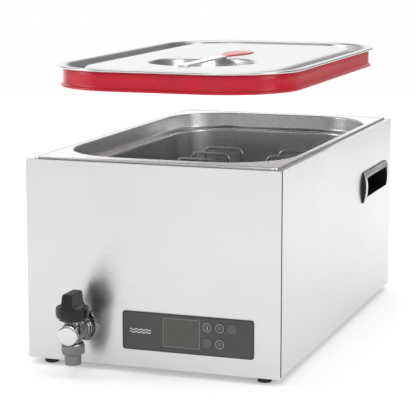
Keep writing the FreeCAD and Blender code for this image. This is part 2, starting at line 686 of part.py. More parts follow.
def bag_rack():
    half, low = "rack_half_width", "rack_low"
    first, last = "middle_y + divider_last - 5 * divider_pitch", "middle_y + divider_last"
    rods = [rod("y", (f"{side} * {half}", f"{low} + wire / 2"), (f"{first} - 12", f"{last} + 12"), "wire / 2")
            for side in (-1, 1)]
    cross = f"{low} + 1.5 * wire"
    for step in range(6):
        y = f"middle_y + divider_last - {step} * divider_pitch"
        rods.append(rod("x", (y, cross), (f"-{half} - 2", f"{half} + 2"), "wire / 2"))
    node("rack_frame", group(*rods))
    loops = []
    for step in range(6):
        y = f"middle_y + divider_last - {step} * divider_pitch"
        for side in (-1, 1):
            loops.append(divider(f"{side} * divider_x", y, f"{low} + 2 * wire"))
    node("rack_dividers", group(*loops))


def divider(x, y, foot):
    """One inverted U of wire: two legs, two bends and a top bar."""
    side, bend, top = "divider_width / 2 - wire / 2", "divider_bend", "rack_top - wire / 2"
    legs = [rod("z", (f"{x} + {sign} * ({side})", y), (foot, f"{top} - {bend}"), "wire / 2")
            for sign in (-1, 1)]
    bar = rod("x", (y, top), (f"{x} - {side} + {bend}", f"{x} + {side} - {bend}"), "wire / 2")
    bends = []
    for sign in (-1, 1):
        ring = doc.addObject("Part::Torus", "Bend")
        bind(ring, Radius1=bend, Radius2="wire / 2")
        ring.Angle3 = 90
        turn = FreeCAD.Rotation(FreeCAD.Vector(1, 0, 0), 90)
        if sign < 0:
            turn = FreeCAD.Rotation(FreeCAD.Vector(0, 0, 1), 180) * turn
        ring.Placement.Rotation = turn
        bends.append(put(ring, f"{x} + {sign} * ({side} - {bend})", y, f"{top} - {bend}"))
    return fuse(*legs, bar, *bends)


# ---- lid ---------------------------------------------------------------------------------------

def lid():
    centre = ("0", "middle_y")
    wall_width, wall_length = "lid_width - 2 * lid_overhang", "lid_length - 2 * lid_overhang"
    wall_corner = "lid_corner - lid_overhang"
    crown = (centre, f"{wall_width} - 2 * trough_width", f"{wall_length} - 2 * trough_width", "68")
    body = new_body("lid_pan")
    rim = sketch_on(body, "lid_top - lid_gauge")
    draw_rounded(rim, centre, "lid_width", "lid_length", "lid_corner")
    pad(body, rim, "lid_gauge")
    wall = sketch_on(body, "lid_top - trough_depth")
    draw_rounded(wall, centre, wall_width, wall_length, wall_corner)
    pad(body, wall, "trough_depth - lid_gauge")
    dish = sketch_on(body, "crown_top - dish_depth")
    draw_circle(dish, ("0", "dish_y"), "dish_radius + lid_gauge")
    pad(body, dish, "dish_depth - 2")
    trough = sketch_on(body, "lid_top")
    draw_rounded(trough, centre, f"{wall_width} - 2 * lid_gauge", f"{wall_length} - 2 * lid_gauge",
                 f"{wall_corner} - lid_gauge")
    draw_rounded(trough, *crown)
    pocket(body, trough, "trough_depth - lid_gauge")
    top = sketch_on(body, "lid_top")
    draw_rounded(top, *crown)
    pocket(body, top, "crown_drop")
    bowl = sketch_on(body, "crown_top")
    draw_circle(bowl, ("0", "dish_y"), "dish_radius")
    pocket(body, bowl, "dish_depth - lid_gauge")
    under = sketch_on(body, "lid_top - trough_depth")
    draw_rounded(under, centre, crown[1] + " - 2 * lid_gauge", crown[2] + " - 2 * lid_gauge", "66.8")
    draw_circle(under, ("0", "dish_y"), "dish_radius + lid_gauge")
    pocket(body, under, "trough_depth - crown_drop - lid_gauge", upward=True)
    vent = sketch_on(body, "crown_top")
    draw_circle(vent, ("0", "plug_y"), "4.2")
    pocket(body, vent, "3 * lid_gauge")

    body = new_body("lid_seal")
    band = sketch_on(body, "lid_top - lid_gauge - seal_height")
    draw_rounded(band, centre, f"{wall_width} + 2 * seal_thick", f"{wall_length} + 2 * seal_thick",
                 f"{wall_corner} + seal_thick")
    draw_rounded(band, centre, wall_width, wall_length, wall_corner)
    pad(body, band, "seal_height")
    lip = sketch_on(body, "lid_top - lid_gauge - seal_height")
    grow = "(seal_thick + seal_lip)"
    draw_rounded(lip, centre, f"{wall_width} + 2 * {grow}", f"{wall_length} + 2 * {grow}",
                 f"{wall_corner} + {grow}")
    draw_rounded(lip, centre, f"{wall_width} + 1", f"{wall_length} + 1", f"{wall_corner} + 0.5")
    pad(body, lip, "3")

    strap = block(("-strap_width / 2", "strap_width / 2"), ("dish_y - dish_radius - 8", "dish_y + dish_radius + 8"),
                  ("crown_top", "crown_top + 2.2"))
    node("lid_strap", strap)
    node("lid_vent_plug", vent_plug())


def vent_plug():
    """A silicone leaf that lies on the crown, with a stem that stops the vent."""
    x, half, wide = "0", "plug_length / 2", "plug_width / 2"
    leaf = doc.addObject("Part::Ellipsoid", "Leaf")
    bind(leaf, Radius1="1.6", Radius2=half, Radius3=wide)
    leaf.Placement.Rotation = FreeCAD.Rotation(FreeCAD.Vector(0, 0, 1), 90)
    put(leaf, x, "plug_y", "crown_top + 0.35")
    below = block((f"-{wide} - 1", f"{wide} + 1"), (f"plug_y - {half} - 1", f"plug_y + {half} + 1"),
                  ("crown_top - 5", "crown_top + 0.3"))
    return fuse(cut(leaf, below), rod("z", (x, "plug_y"), ("crown_top - 5", "crown_top + 0.6"), "3.9"))


# ---- build, check and write --------------------------------------------------------------------

def solids_are_sound():
    faults = []
    for obj in doc.Objects:
        if "Invalid" in obj.State or "Error" in obj.State:
            faults.append(f"{obj.Name} ({obj.Label}): {obj.State}")
    for obj in NODES:
        if obj.Shape.isNull() or not obj.Shape.isValid() or not obj.Shape.Solids:
            faults.append(f"{obj.Label}: no sound solid")
    return faults


casing()
side_handles()
tank()
tank_fittings()
key_panel()
power_parts()
drain_tap()
bag_rack()
lid()
doc.recompute()
faults = solids_are_sound()
if faults:
    raise RuntimeError("; ".join(faults))
os.makedirs("parts", exist_ok=True)
for obj in NODES:
    obj.Shape.exportStep(os.path.join("parts", obj.Label + ".step"))
    print(f"{obj.Label:22s} {len(obj.Shape.Solids):3d} solids {obj.Shape.Volume / 1000:9.2f} cm3")
print(len(NODES), "nodes")
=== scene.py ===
"""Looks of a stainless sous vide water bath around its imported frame.

Metres, +Z up, front at -Y.  Profiles and section tables say so where they are in millimetres.
"""
import json
import math

import bmesh
import bpy
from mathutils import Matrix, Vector


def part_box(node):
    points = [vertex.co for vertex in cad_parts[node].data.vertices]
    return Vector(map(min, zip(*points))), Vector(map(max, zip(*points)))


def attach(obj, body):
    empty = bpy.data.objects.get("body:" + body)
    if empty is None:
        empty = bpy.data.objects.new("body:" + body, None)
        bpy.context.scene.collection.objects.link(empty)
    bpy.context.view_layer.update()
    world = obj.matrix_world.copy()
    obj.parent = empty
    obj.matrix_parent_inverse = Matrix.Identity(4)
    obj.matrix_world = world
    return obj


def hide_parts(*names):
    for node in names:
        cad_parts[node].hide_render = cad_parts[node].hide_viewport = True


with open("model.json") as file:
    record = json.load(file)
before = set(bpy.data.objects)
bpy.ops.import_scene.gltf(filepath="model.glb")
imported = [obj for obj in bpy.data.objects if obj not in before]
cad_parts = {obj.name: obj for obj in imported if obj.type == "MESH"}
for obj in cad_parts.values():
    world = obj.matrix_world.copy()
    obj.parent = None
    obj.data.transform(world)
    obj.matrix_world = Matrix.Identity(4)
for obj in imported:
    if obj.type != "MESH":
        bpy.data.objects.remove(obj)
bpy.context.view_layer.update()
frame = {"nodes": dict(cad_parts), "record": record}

MM = 0.001
SIDES = (-1, 1)
casing_low, casing_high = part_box("casing_wrap")
panel_low, panel_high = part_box("front_panel")
tank_low, tank_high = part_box("tank")
lid_low, lid_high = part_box("lid_pan")
FRONT = panel_low.y
BACK = casing_high.y
MIDDLE = (FRONT + BACK) / 2
UP = (0, 0, 1)
FORWARD = (0, -1, 0)
PRINT_LIFT = 0.00005         # a printed mark stands this far in front of its surface
PRINT_THICKNESS = 0.00012


# ---- materials ---------------------------------------------------------------------------------

PATTERN_SPAN = (0.3, 0.7)    # where a noise pattern has most of its values
FINE_GRAIN = 900.0           # features per metre in a rolled sheet
FINE_PRINT = 0.000004        # relief of ink and film


def new_material(name, colour, metallic=0.0, roughness=0.5, **sockets):
    """A Principled material; further sockets are named with underscores for spaces."""
    material = bpy.data.materials.new(name)
    material.use_nodes = True
    shader = material.node_tree.nodes["Principled BSDF"]
    shader.inputs["Base Color"].default_value = (*colour, 1.0)
    shader.inputs["Metallic"].default_value = metallic
    shader.inputs["Roughness"].default_value = roughness
    for socket, value in sockets.items():
        shader.inputs[socket.replace("_", " ")].default_value = value
    material.diffuse_color = (*colour, 1.0)
    return material


def noise(material, scale, detail=3.0, stretch=(1, 1, 1)):
    """A noise pattern fixed to the object; scale is in features per metre before stretching."""
    nodes, links = material.node_tree.nodes, material.node_tree.links
    place = nodes.new("ShaderNodeTexCoord")
    mapping = nodes.new("ShaderNodeMapping")
    mapping.inputs["Scale"].default_value = stretch
    pattern = nodes.new("ShaderNodeTexNoise")
    pattern.inputs["Scale"].default_value = scale
    pattern.inputs["Detail"].default_value = detail
    links.new(place.outputs["Object"], mapping.inputs["Vector"])
    links.new(mapping.outputs["Vector"], pattern.inputs["Vector"])
    return pattern.outputs["Fac"]


def vary_colour(material, value, dark, light):
    """Let a pattern run the colour from dark to light."""
    nodes, links = material.node_tree.nodes, material.node_tree.links
    ramp = nodes.new("ShaderNodeValToRGB")
    for stop, position, colour in zip(ramp.color_ramp.elements, PATTERN_SPAN, (dark, light)):
        stop.position = position
        stop.color = (*colour, 1.0)
    links.new(value, ramp.inputs["Fac"])
    links.new(ramp.outputs["Color"], nodes["Principled BSDF"].inputs["Base Color"])


def vary_roughness(material, value, low, high):
    """Let a pattern run the roughness from low to high."""
    nodes, links = material.node_tree.nodes, material.node_tree.links
    spread = nodes.new("ShaderNodeMapRange")
    spread.inputs["From Min"].default_value = PATTERN_SPAN[0]
    spread.inputs["From Max"].default_value = PATTERN_SPAN[1]
    spread.inputs["To Min"].default_value = low
    spread.inputs["To Max"].default_value = high
    links.new(value, spread.inputs["Value"])
    links.new(spread.outputs["Result"], nodes["Principled BSDF"].inputs["Roughness"])


def bump(material, value, strength, height):
    """Let a pattern raise the surface, by up to the height."""
    nodes, links = material.node_tree.nodes, material.node_tree.links
    node = nodes.new("ShaderNodeBump")
    node.inputs["Strength"].default_value = strength
    node.inputs["Distance"].default_value = height
    links.new(value, node.inputs["Height"])
    links.new(node.outputs["Normal"], nodes["Principled BSDF"].inputs["Normal"])


def grey(level):
    return (level, level, level)


def steel(name, level, low, high, grain=None, anisotropy=0.0, turn=0.0):
    """Stainless sheet: fine grain in roughness and relief, and faint cloudy handling marks.

    A brushed sheet gives its grain in features per metre along each axis.
    """
    material = new_material(name, grey(level), 1.0, (low + high) / 2, Anisotropic=anisotropy,
                            Anisotropic_Rotation=turn)
    fine = noise(material, 1.0 if grain else FINE_GRAIN, 4.0, grain or (1, 1, 1))
    if anisotropy:
        nodes, links = material.node_tree.nodes, material.node_tree.links
        along = nodes.new("ShaderNodeTangent")
        along.direction_type = "RADIAL"
        along.axis = "Z"
        links.new(along.outputs["Tangent"], nodes["Principled BSDF"].inputs["Tangent"])
    vary_roughness(material, fine, low, high)
    bump(material, fine, strength=0.12, height=0.00004)
    clouds = noise(material, 5.0, 2.0)
    vary_colour(material, clouds, grey(level * 0.96), grey(min(1.0, level * 1.02)))
    return material


def moulding(name, colour, low, high, relief=0.00003, pitch=2500.0, **sockets):
    """Moulded plastic or rubber: a fine eroded texture, pitch in features per metre."""
    material = new_material(name, colour, 0.0, (low + high) / 2, **sockets)
    fine = noise(material, pitch, 3.0)
    bump(material, fine, strength=0.25, height=relief)
    vary_roughness(material, noise(material, 60.0, 2.0), low, high)
    dark = tuple(c * 0.9 for c in colour)
    light = tuple(min(1.0, c * 1.1) for c in colour)
    vary_colour(material, noise(material, 25.0, 3.0), dark, light)
    return material


def make_materials():
    """The look of each material slot of the record."""
    horizontal = (9, 9, 2600)        # long strokes around the casing, close together up its height
    looks = {
        "brushed_steel": steel("BrushedSteel", 0.70, 0.27, 0.34, horizontal, 0.8, 0.25),
        "plain_steel": steel("MillSteel", 0.55, 0.30, 0.42),
        "tank_steel": steel("DrawnSteel", 0.74, 0.24, 0.32),
        "wire_steel": steel("WireSteel", 0.50, 0.18, 0.26),
        "screw_steel": steel("ScrewSteel", 0.60, 0.22, 0.32),
        # The chrome's base colour is kept dark as painted shade: it stands in for the dark
        # surroundings that the tap reflects.
        "chrome": steel("ChromePaintedShade", 0.19, 0.03, 0.07),
        "heat_sink": steel("Aluminium", 0.72, 0.35, 0.45),
        "black_plastic": moulding("BlackMoulding", (0.006, 0.006, 0.007), 0.30, 0.40,
                                  Specular_IOR_Level=0.35),
        "key_plastic": moulding("KeyCap", grey(0.056), 0.38, 0.46),
        "overlay": moulding("OverlayFilm", grey(0.050), 0.36, 0.44, 0.00001),
        "lens": moulding("DisplayLens", (0.066, 0.067, 0.058), 0.16, 0.2, FINE_PRINT),
        "grey_plastic": moulding("GreyMoulding", grey(0.25), 0.45, 0.55),
        "board": moulding("CircuitBoard", (0.015, 0.12, 0.05), 0.3, 0.4),
        "black_rubber": moulding("BlackRubber", grey(0.010), 0.55, 0.7, 0.00006),
        "red_silicone": moulding("RedSilicone", (0.50, 0.004, 0.020), 0.26, 0.34, 0.00001,
                                 Specular_IOR_Level=0.4, Coat_Weight=0.1, Coat_Roughness=0.12),
        "heater_silicone": moulding("HeaterMat", (0.5, 0.14, 0.05), 0.5, 0.6, 0.0001, 900.0),
        "insulation": moulding("FibreBoard", grey(0.75), 0.8, 0.95, 0.0004, 400.0),
        "brass": new_material("ContactBrass", (0.75, 0.58, 0.28), 1.0, 0.3),
        "ptfe": moulding("WhitePolymer", grey(0.85), 0.4, 0.5),
        "reset_plastic": moulding("ResetCap", (0.5, 0.01, 0.01), 0.35, 0.45),
    }
    brass = looks["brass"]
    vary_roughness(brass, noise(brass, 700.0), 0.25, 0.38)
    return looks


LOOKS = make_materials()     # by material slot
PRINT = moulding("PalePrint", grey(0.30), 0.45, 0.55, FINE_PRINT)
FAINT_PRINT = moulding("FaintPrint", grey(0.18), 0.45, 0.55, FINE_PRINT)
LID_STEEL = steel("PressedSteel", 0.60, 0.24, 0.31)
# A lighter copy of the tap's chrome for its end cap: a painted bright reflection, while the rest of
# the tap keeps the dark chrome.
CHROME_CAP_PAINTED_HIGHLIGHT = steel("ChromeCapPaintedHighlight", 0.64, 0.12, 0.18)
WHITE_PRINT = moulding("WhitePrint", grey(0.75), 0.45, 0.55, FINE_PRINT)
EDGE = moulding("DarkEdge", grey(0.012), 0.35, 0.45, FINE_PRINT)
SLOT_OF = {row["node"]: row["material_slot"] for row in frame["record"]["subparts"]}
BODY_OF = {node: body for body, nodes in frame["record"]["behaviour"]["bodies"].items()
           for node in nodes}


def paint(obj, material):
    """Give the whole object one material."""
    obj.data.materials.clear()
    obj.data.materials.append(material)


def settle(obj, node, replace=True, material=None):
    """Paint a new piece as its CAD node, and let it ride and stand for that node."""
    slot = SLOT_OF[node]
    paint(obj, material or LOOKS[slot])
    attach(obj, BODY_OF[node])
    if replace:
        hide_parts(node)


# ---- mesh tools --------------------------------------------------------------------------------

def linked(name, data):
    """A new object in the scene."""
    obj = bpy.data.objects.new(name, data)
    bpy.context.scene.collection.objects.link(obj)
    return obj


def mesh_object(name, bm, smooth=True):
    """An object from an edit mesh, which is used up, with its faces turned outward."""
    bmesh.ops.recalc_face_normals(bm, faces=bm.faces)
    mesh = bpy.data.meshes.new(name)
    bm.to_mesh(mesh)
    bm.free()
    for face in mesh.polygons:
        face.use_smooth = smooth
    return linked(name, mesh)


def apply_modifiers(obj):
    """Make what the modifiers show the object's own mesh."""
    bpy.context.view_layer.update()
    evaluated = obj.evaluated_get(bpy.context.evaluated_depsgraph_get())
    mesh = bpy.data.meshes.new_from_object(evaluated)
    obj.modifiers.clear()
    old = obj.data
    obj.data = mesh
    bpy.data.meshes.remove(old)
    return obj


def sharpen(obj, angle):
    """Smooth shading that stops at edges sharper than the angle, in degrees."""
    for face in obj.data.polygons:
        face.use_smooth = True
    obj.data.set_sharp_from_angle(angle=math.radians(angle))
    return obj


def level_shading(obj):
    """Keep big flat faces evenly shaded next to their rounded edges."""
    even = obj.modifiers.new("Even", "WEIGHTED_NORMAL")
    even.weight = 100
    even.keep_sharp = True
    return apply_modifiers(obj)


def softened(node, width, segments=3):
    """Stand in for a CAD node with the same shape, every sharp edge rounded."""
    bm = bmesh.new()
    bm.from_mesh(frame["nodes"][node].data)
    bmesh.ops.remove_doubles(bm, verts=bm.verts, dist=0.002 * MM)
    bmesh.ops.dissolve_limit(bm, angle_limit=math.radians(1.0), verts=bm.verts, edges=bm.edges)
    obj = mesh_object(node + "_soft", bm)
    round_off = obj.modifiers.new("Round", "BEVEL")
    round_off.width = width
    round_off.segments = segments
    round_off.limit_method = "ANGLE"
    round_off.angle_limit = math.radians(35)
    round_off.use_clamp_overlap = True
    apply_modifiers(obj)
    settle(level_shading(sharpen(obj, 40)), node)


def rounded_loop(half_x, half_y, radius, level, centre=(0.0, 0.0), arc=16, side=6):
    """Points around a rounded rectangle, the same number for every size."""
    points = []
    corners = [(half_x - radius, half_y - radius, 0), (radius - half_x, half_y - radius, 90),
               (radius - half_x, radius - half_y, 180), (half_x - radius, radius - half_y, 270)]
    for index, (cx, cy, start) in enumerate(corners):
        for step in range(arc + 1):
            turn = math.radians(start + 90 * step / arc)
            points.append(Vector((cx + radius * math.cos(turn),
                                  cy + radius * math.sin(turn), level)))
        nx, ny, after = corners[(index + 1) % 4]
        turn = math.radians(after)
        begin = points[-1]
        end = Vector((nx + radius * math.cos(turn), ny + radius * math.sin(turn), level))
        for step in range(1, side):
            points.append(begin.lerp(end, step / side))
    return [p + Vector((centre[0], centre[1], 0)) for p in points]


def skin(name, loops, caps=(False, False), ring=False):
    """A surface through equal closed loops, with optional end caps, or closed into a ring."""
    bm = bmesh.new()
    rows = [[bm.verts.new(point) for point in loop] for loop in loops]
    count = len(rows[0])
    pairs = list(zip(rows, rows[1:]))
    if ring:
        pairs.append((rows[-1], rows[0]))
    for low, high in pairs:
        for index in range(count):
            after = (index + 1) % count
            bm.faces.new((low[index], low[after], high[after], high[index]))
    for wanted, row in zip(caps, (rows[0], rows[-1])):
        if wanted:
            bm.faces.new(row)
    return mesh_object(name, bm)


def lathe(name, base, axis, profile, segments=72, closed_ring=False):
    """Turn a profile of (radius, height) in metres about an axis through base.

    The ends get caps, unless the profile is a closed ring.
    """
    turn = Vector(axis).to_track_quat("Z", "Y")
    loops = []
    for radius, height in profile:
        loop = []
        for index in range(segments):
            angle = 2 * math.pi * index / segments
            point = Vector((radius * math.cos(angle), radius * math.sin(angle), height))
            loop.append(Vector(base) + turn @ point)
        loops.append(loop)
    capped = not closed_ring
    return sharpen(skin(name, loops, caps=(capped, capped), ring=closed_ring), 30)


def thicken(obj, thickness):
    """Give a drawn surface its sheet thickness, inwards."""
    wall = obj.modifiers.new("Wall", "SOLIDIFY")
    wall.thickness = thickness
    wall.offset = -1.0
    wall.use_even_offset = True
    return apply_modifiers(obj)


def joined(name, objects):
    """Several meshes made into one object."""
    bm = bmesh.new()
    for obj in objects:
        obj.data.transform(obj.matrix_world)
        bm.from_mesh(obj.data)
        bpy.data.objects.remove(obj)
    mesh = bpy.data.meshes.new(name)
    bm.to_mesh(mesh)
    bm.free()
    return linked(name, mesh)


def wire(name, points, radius):
    """A round rod along a path of points."""
    curve = bpy.data.curves.new(name, "CURVE")
    curve.dimensions = "3D"
    curve.bevel_depth = radius
    curve.bevel_resolution = 4
    curve.use_fill_caps = True
    spline = curve.splines.new("POLY")
    spline.points.add(len(points) - 1)
    for knot, point in zip(spline.points, points):
        knot.co = (*point, 1.0)
    path = linked(name, curve)
    bpy.context.view_layer.update()
    evaluated = path.evaluated_get(bpy.context.evaluated_depsgraph_get())
    mesh = bpy.data.meshes.new_from_object(evaluated)
    bpy.data.objects.remove(path)
    return sharpen(linked(name, mesh), 50)


# ---- tank and lid ------------------------------------------------------------------------------

# Section tables, in millimetres.  Drops are below the top of the piece.
ROLLED_EDGE = [              # tank flange: in from the edge, drop
    (0.5, 2.9), (0.0, 2.3), (0.0, 1.7), (0.4, 0.9), (1.1, 0.35), (2.0, 0.05),
    (2.6, 0.0), (3.4, 0.15), (4.2, 0.6), (4.8, 0.9), (5.4, 1.0)]
TANK_WALL = [                # tank from the mouth down: out from the mouth, corner radius, drop
    (3.8, 95.6, 1.0), (3.0, 94.8, 0.95), (1.4, 93.2, 1.1), (0.4, 92.4, 1.8),
    (0.0, 92, 3.4), (-0.8, 91.2, 20), (-1.6, 90.4, 22.8), (-3.4, 88.6, 24),
    (-8.4, 83.6, 24.2), (-10, 82, 25.4), (-10.6, 81.4, 28), (-13, 79, 178),
    (-15, 77, 190), (-20, 72, 197), (-28, 64, 199.2), (-60, 40, 199.8)]
LID_PRESSING = [             # lid from its rim inwards: in from the edge, corner radius, drop
    (1.3, 100.7, 3.2), (0.2, 101.8, 2.4), (0.0, 102, 1.4), (0.4, 101.6, 0.4),
    (1.4, 100.6, 0.0), (6.6, 95.4, 0.0), (8.4, 93.6, 1.0), (9.4, 92.6, 3.0),
    (12.0, 90, 10.5), (13.6, 88.4, 12.4), (16.5, 85.5, 13), (27, 75, 13),
    (30, 72, 12), (34, 68, 5.0), (36.5, 66, 3.0), (40, 63, 2.5)]
DISH_BOWL = [                # handle dish: radius, drop
    (77, 2.5), (74.6, 2.6), (73.0, 3.4), (71.6, 6.0), (69.0, 18.0), (66.4, 23.0),
    (61, 26.4), (52, 27.2), (20, 27.3)]
SEAL_BAND = [                # silicone seal: out from the lid's wall, drop
    (0.2, 1.5), (1.7, 1.5), (2.05, 2.0), (2.1, 12.0), (2.0, 22.0), (2.3, 23.2), (3.8, 23.9),
    (4.8, 24.8), (5.0, 26.0), (4.6, 27.0), (3.2, 27.2), (1.6, 26.4), (0.4, 24.0), (0.1, 12.0)]
STRAP_EDGE = [(0.0, 0.0), (0.0, 1.2), (0.4, 1.8), (1.4, 2.2)]     # in from the edge, rise


def sections(rows, centre):
    """Loops from rows of (half width, half length, corner radius, height) in millimetres."""
    return [rounded_loop(a * MM, b * MM, r * MM, z * MM, centre) for a, b, r, z in rows]


def half_sizes(low, high):
    """Half the width and half the length of a box, in millimetres."""
    return (high.x - low.x) / 2 / MM, (high.y - low.y) / 2 / MM


def build_tank():
    """Deep-drawn tank: rolled flange, shoulder ledge, soft floor corners, drain in the floor."""
    top = tank_high.z / MM
    half, length = half_sizes(tank_low, tank_high)
    mouth, reach = 150.0, 259.0
    loops = sections([(half - cut, length - cut, 8 - cut, top - drop) for cut, drop in ROLLED_EDGE],
                     (0.0, MIDDLE))
    loops += sections([(mouth + out, reach + out, corner, top - drop)
                       for out, corner, drop in TANK_WALL], (0.0, MIDDLE + 6 * MM))
    tank = skin("tank_drawn", loops, caps=(False, True))
    thicken(tank, 1.0 * MM)
    settle(level_shading(sharpen(tank, 50)), "tank")
    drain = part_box("drain_elbow")
    ring_place = ((drain[0].x + drain[1].x) / 2, FRONT + 60 * MM, tank_high.z - 199.7 * MM)
    strainer = lathe("tank_drain_ring", ring_place, UP,
                     [(0.0068, -0.0004), (0.0098, -0.0004), (0.0098, 0.0003), (0.0084, 0.0006),
                      (0.0070, 0.0001)], closed_ring=True)
    settle(strainer, "tank", replace=False)
    mouth_disc = lathe("tank_drain_mouth", ring_place, UP, [(0.0069, -0.0003), (0.0069, 0.0001)])
    settle(mouth_disc, "tank", replace=False, material=LOOKS["black_rubber"])


def build_lid():
    """Pressed pan: rolled rim, trough, crowned panel and a round handle dish."""
    top = lid_high.z / MM
    half, length = half_sizes(lid_low, lid_high)
    centre = (0.0, MIDDLE)
    loops = sections([(half - cut, length - cut, corner, top - drop)
                      for cut, corner, drop in LID_PRESSING], centre)
    dish = Vector((0.0, MIDDLE - 95 * MM, 0.0))
    rays = [(point - dish).xy.normalized() for point in loops[-1]]
    for radius, drop in DISH_BOWL:
        level = (top - drop) * MM
        loops.append([Vector((dish.x + ray.x * radius * MM, dish.y + ray.y * radius * MM, level))
                      for ray in rays])
    pan = skin("lid_pressed_pan", loops, caps=(False, True))
    thicken(pan, 0.8 * MM)
    settle(level_shading(sharpen(pan, 55)), "lid_pan", material=LID_STEEL)

    wall, reach, corner = half - 8.5, length - 8.5, 93.5
    seal = skin("lid_seal_band", sections([(wall + out, reach + out, corner + out, top - drop)
                                           for out, drop in SEAL_BAND], centre), ring=True)
    settle(sharpen(seal, 70), "lid_seal")

    low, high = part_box("lid_strap")
    middle = ((low.x + high.x) / 2, (low.y + high.y) / 2)
    wide, long = (high.x - low.x) / 2, (high.y - low.y) / 2
    bar = [rounded_loop(wide - cut * MM, long - cut * MM, wide * 0.55 - cut * MM,
                        low.z + rise * MM, middle) for cut, rise in STRAP_EDGE]
    settle(sharpen(skin("lid_strap_bar", bar, caps=(True, True)), 45), "lid_strap")
    build_plug()


def build_plug():
    """Silicone leaf, pointed towards the dish and round at its far end, with a stem below."""
    low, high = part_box("lid_vent_plug")
    length, half = high.y - low.y, (high.x - low.x) / 2
    count = 72
    outline = []
    for index in range(count):
        turn = 2 * math.pi * index / count
        along = (1 - math.cos(turn)) / 2
        width = half * math.sin(turn) * (0.35 + 0.65 * along) / 0.74    # 0.74 at its widest
        outline.append(Vector((width, along * length, 0)))
    centre = Vector((0, length * 0.55, 0))
    base = Vector((0, low.y, lid_high.z - 2.2 * MM))
    layers = [(1.0, 0.0), (1.0, 0.5), (0.97, 0.95), (0.9, 1.3), (0.6, 1.6), (0.25, 1.7)]
    loops = [[base + centre + (point - centre) * size + Vector((0, 0, rise * MM))
              for point in outline] for size, rise in layers]
    leaf = skin("lid_plug_leaf", loops, caps=(True, True))
    stem_place = (0, (low.y + high.y) / 2, low.z)
    stem = lathe("lid_plug_stem", stem_place, UP,
                 [(0.0034, 0), (0.0039, 0.0006), (0.0039, 0.0055)], 32)
    settle(sharpen(joined("lid_plug", [leaf, stem]), 60), "lid_vent_plug")


# ---- rack --------------------------------------------------------------------------------------

def build_rack():
    """Electropolished wire: two rails, cross wires, and a row of inverted U dividers each side."""
    frame_low, frame_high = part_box("rack_frame")
    loops_low, loops_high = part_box("rack_dividers")
    radius, bend, rows, loop_width = 2 * MM, 8 * MM, 6, 61 * MM
    quarter = [math.radians(90 * step / 8) for step in range(9)]
    pitch = (loops_high.y - loops_low.y - 2 * radius) / (rows - 1)
    rods = []
    for side in SIDES:
        x = side * (frame_high.x - 2 * radius)
        ends = [(x, y, frame_low.z + radius) for y in (frame_low.y, frame_high.y)]
        rods.append(wire("rail", ends, radius))
    loops = []
    for row in range(rows):
        y = loops_low.y + radius + row * pitch
        across = frame_low.z + 3 * radius
        rods.append(wire("cross", [(frame_low.x, y, across), (frame_high.x, y, across)], radius))
        for side in SIDES:
            outer = side * (loops_high.x - radius)
            inner = side * (loops_high.x - loop_width + radius)
            left, right = sorted((outer, inner))
            top = loops_high.z - radius
            path = [(left, y, loops_low.z - radius)]
            path += [(left + bend * (1 - math.cos(turn)), y, top - bend * (1 - math.sin(turn)))
                     for turn in quarter]
            path += [(right - bend * (1 - math.sin(turn)), y, top - bend * (1 - math.cos(turn)))
                     for turn in quarter]
            path.append((right, y, loops_low.z - radius))
            loops.append(wire("divider", path, radius))
    settle(joined("rack_frame_wires", rods), "rack_frame")
    settle(joined("rack_divider_wires", loops), "rack_dividers")


# ---- drain tap ---------------------------------------------------------------------------------

# Profiles of (radius, height) in metres.  Heights are out from the front panel, or up.
ROSETTE = [
    (0.0105, 0.0), (0.0192, 0.0), (0.0196, 0.0005), (0.0194, 0.0016), (0.0180, 0.0030),
    (0.0150, 0.0040), (0.0105, 0.0042)]
BARREL = [
    (0.0118, 0.0112), (0.0134, 0.0114), (0.0146, 0.0120), (0.0148, 0.0132), (0.0148, 0.0150),
    (0.0142, 0.0160), (0.0128, 0.0163), (0.0126, 0.0172), (0.0132, 0.0178), (0.0140, 0.0182),
    (0.0141, 0.0196), (0.0134, 0.0206), (0.0122, 0.0212), (0.0119, 0.0230), (0.0119, 0.0500),
    (0.0112, 0.0524)]
CHAMBER = [(0.0104, 0.041), (0.0112, 0.044), (0.0112, 0.064), (0.0104, 0.068), (0.0096, 0.0705)]
END_CAP = [
    (0.0118, 0.0516), (0.0130, 0.0522), (0.0131, 0.0532), (0.0131, 0.0562), (0.0127, 0.0571),
    (0.0119, 0.0576), (0.0080, 0.0579), (0.0030, 0.0580)]
SPOUT = [
    (0.0070, 0.0004), (0.0074, 0.0), (0.0098, 0.0), (0.0104, 0.0004), (0.0106, 0.0012),
    (0.0106, 0.0128), (0.0084, 0.0131), (0.0070, 0.0131)]
COLLAR_RADIUS = 0.0162       # corners of the hexagon
COLLAR = [                   # part of the full radius, height above its lower end
    (0.80, 0.0), (0.93, 0.0018), (1.0, 0.0034), (1.0, 0.0128), (0.95, 0.0146), (0.70, 0.0156)]
KNOB_SKIRT = [
    (0.0165, 0.0), (0.0172, 0.0002), (0.0175, 0.0030), (0.0196, 0.0036), (0.0204, 0.0050),
    (0.0208, 0.0100), (0.0205, 0.0155), (0.0195, 0.0168), (0.0120, 0.0150)]
WING_FOOT = [                # reach, half thickness, height above the knob's lower end
    (0.0206, 0.0130, 0.006), (0.0204, 0.0125, 0.0150), (0.0202, 0.0098, 0.0170),
    (0.0198, 0.0080, 0.0192), (0.0194, 0.0073, 0.0220), (0.0184, 0.0070, 0.0280)]
WING_CROWN = [               # reach, half thickness, drop below the knob's top
    (0.0174, 0.0067, 0.0024), (0.0166, 0.0060, 0.0008), (0.0146, 0.0046, 0.0)]


def hexagon(x, y, z, radius):
    """Six level corners around a point."""
    turns = [math.radians(60 * corner) for corner in range(6)]
    return [Vector((x + radius * math.cos(turn), y + radius * math.sin(turn), z))
            for turn in turns]


